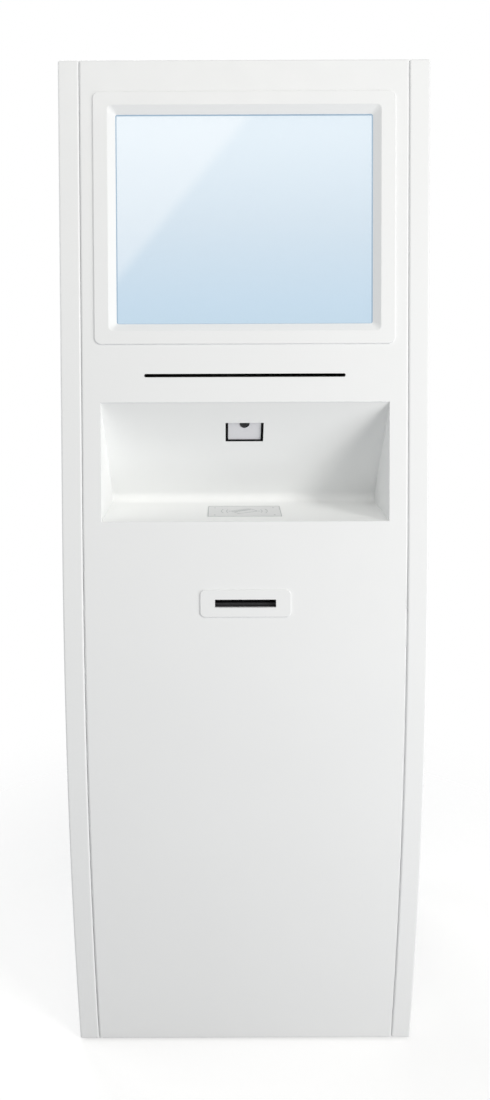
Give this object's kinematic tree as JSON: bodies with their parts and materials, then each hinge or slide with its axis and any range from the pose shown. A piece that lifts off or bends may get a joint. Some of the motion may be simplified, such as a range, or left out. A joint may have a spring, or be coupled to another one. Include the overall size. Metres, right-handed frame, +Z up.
{
  "type": "self-service kiosk",
  "caption": "Floor-standing white kiosk with leaning curved front, touch screen, paper slot, scanner and card niche, ticket slot and rear service door.",
  "frame": {"origin": "on the floor, under the centre of the bounding box", "axes": "+X to the right as a user faces the screen, +Y from the front to the rear, +Z up; the screen faces -Y"},
  "size_m": [0.55, 0.5, 1.54],
  "materials": {
    "cabinet_white": "satin white powder coat",
    "inner_sheet": "galvanised sheet, matt",
    "steel": "brushed",
    "chrome": "bright",
    "motor_steel": "plated",
    "supply_steel": "perforated case, matt",
    "black_metal": "matt black",
    "brass": "machined",
    "rubber": "matt",
    "black_plastic": "fine grain",
    "grey_plastic": "satin",
    "printer_plastic": "fine grain",
    "pad_plastic": "satin",
    "slot_plastic": "satin",
    "button_plastic": "smooth",
    "rocker_plastic": "smooth",
    "gear_plastic": "moulded",
    "lens": "dark gloss",
    "glass": "clear",
    "display": "lit panel",
    "ceramic": "matt",
    "paper": "uncoated"
  },
  "bodies": {
    "cabinet": {"side_panel_left": "cabinet_white", "side_panel_right": "cabinet_white", "front_panel": "cabinet_white", "top_cover": "cabinet_white", "rear_frame": "cabinet_white", "hinge_frame_leaves": "steel", "hinge_pins": "steel", "base_tray": "inner_sheet", "foot_pads": "rubber", "foot_studs": "steel", "screen_bezel": "cabinet_white", "touch_glass": "glass", "lcd_panel": "display", "display_housing": "inner_sheet", "display_brackets": "inner_sheet", "niche_tray": "cabinet_white", "scanner_housing": "black_plastic", "scanner_face": "grey_plastic", "scanner_lens": "lens", "card_reader_body": "black_plastic", "card_reader_pad": "pad_plastic", "document_chute": "black_plastic", "document_shelf": "inner_sheet", "document_printer_body": "printer_plastic", "document_paper": "paper", "ticket_bezel": "slot_plastic", "ticket_shelf": "inner_sheet", "ticket_cutter_frame": "black_plastic", "ticket_printer_frame": "inner_sheet", "feed_motor": "motor_steel", "roll_bracket": "inner_sheet", "equipment_shelf": "inner_sheet", "computer_case": "black_metal", "computer_cover": "black_metal", "power_supply": "supply_steel", "power_inlet": "black_plastic", "fan_frame": "black_plastic", "fan_guard": "chrome", "fan_screws": "steel"},
    "door": {"rear_door": "cabinet_white", "hinge_door_leaves": "steel", "lock_barrels": "chrome"},
    "upper_lock": {"upper_lock_cam": "steel"},
    "lower_lock": {"lower_lock_cam": "steel"},
    "rotor": {"fan_rotor": "black_plastic"},
    "rocker": {"power_rocker": "rocker_plastic"},
    "start_button": {"computer_button": "button_plastic"},
    "ticket_button": {"feed_button": "button_plastic"},
    "platen": {"platen_roller": "rubber", "platen_gear": "gear_plastic"},
    "idler": {"idler_gear": "gear_plastic"},
    "motor_shaft": {"motor_pinion": "brass"},
    "ticket_roll": {"roll_spindle": "black_plastic", "paper_roll": "paper"},
    "head": {"print_head": "ceramic", "head_lever": "steel"},
    "blade": {"cutter_blade": "steel"},
    "printer_cover": {"document_printer_cover": "printer_plastic"},
    "drive_roller": {"document_drive_roller": "rubber"},
    "pinch_roller": {"document_pinch_roller": "grey_plastic"}
  },
  "joints": [
    {"name": "door_hinge", "type": "hinge", "parent": "cabinet", "child": "door", "pos_m": [0.214, 0.2455, 0.7715], "axis": [0, 0, -1], "range_deg": [0, 110]},
    {"name": "upper_lock_turn", "type": "hinge", "parent": "door", "child": "upper_lock", "pos_m": [-0.185, 0.2407, 1.15], "axis": [0, -1, 0], "range_deg": [0, 90]},
    {"name": "lower_lock_turn", "type": "hinge", "parent": "door", "child": "lower_lock", "pos_m": [-0.185, 0.2407, 0.393], "axis": [0, 1, 0], "range_deg": [0, 90]},
    {"name": "fan_spin", "type": "hinge", "parent": "cabinet", "child": "rotor", "pos_m": [0, 0.2387, 1.46685], "axis": [0, 1, 0], "continuous": true},
    {"name": "power_switch", "type": "hinge", "parent": "cabinet", "child": "rocker", "pos_m": [-0.098, 0.2387, 0.085], "axis": [1, 0, 0], "range_deg": [-10, 10]},
    {"name": "start_button_press", "type": "slide", "parent": "cabinet", "child": "start_button", "axis": [0, -1, 0], "range_m": [0, 0.0015], "stiffness_N_per_m": 400},
    {"name": "feed_button_press", "type": "slide", "parent": "cabinet", "child": "ticket_button", "axis": [0, -1, 0], "range_m": [0, 0.0015], "stiffness_N_per_m": 400},
    {"name": "platen_spin", "type": "hinge", "parent": "cabinet", "child": "platen", "pos_m": [0, -0.15922, 0.74731], "axis": [1, 0, 0], "continuous": true},
    {"name": "idler_spin", "type": "hinge", "parent": "cabinet", "child": "idler", "pos_m": [0.055, -0.14017, 0.73631], "axis": [1, 0, 0], "continuous": true},
    {"name": "motor_spin", "type": "hinge", "parent": "cabinet", "child": "motor_shaft", "pos_m": [0.055, -0.12513, 0.73083], "axis": [1, 0, 0], "continuous": true},
    {"name": "roll_spin", "type": "hinge", "parent": "cabinet", "child": "ticket_roll", "pos_m": [0, -0.01922, 0.75996], "axis": [1, 0, 0], "continuous": true},
    {"name": "head_lift", "type": "hinge", "parent": "cabinet", "child": "head", "pos_m": [0, -0.10022, 0.76651], "axis": [-1, 0, 0], "range_deg": [0, 40]},
    {"name": "cutter_stroke", "type": "slide", "parent": "cabinet", "child": "blade", "axis": [0, 0, 1], "range_m": [0, 0.009]},
    {"name": "printer_cover_hinge", "type": "hinge", "parent": "cabinet", "child": "printer_cover", "pos_m": [0, -0.019, 1.09896], "axis": [1, 0, 0], "range_deg": [0, 70]},
    {"name": "drive_roller_spin", "type": "hinge", "parent": "cabinet", "child": "drive_roller", "pos_m": [0, -0.006, 1.07981], "axis": [1, 0, 0], "continuous": true},
    {"name": "pinch_roller_spin", "type": "hinge", "parent": "cabinet", "child": "pinch_roller", "pos_m": [0, -0.006, 1.09411], "axis": [1, 0, 0], "continuous": true}
  ],
  "couplings": [
    {"joint": "idler_spin", "follows": "platen_spin", "ratio": -1.2},
    {"joint": "motor_spin", "follows": "platen_spin", "ratio": 2},
    {"joint": "pinch_roller_spin", "follows": "drive_roller_spin", "ratio": -1.3333}
  ]
}
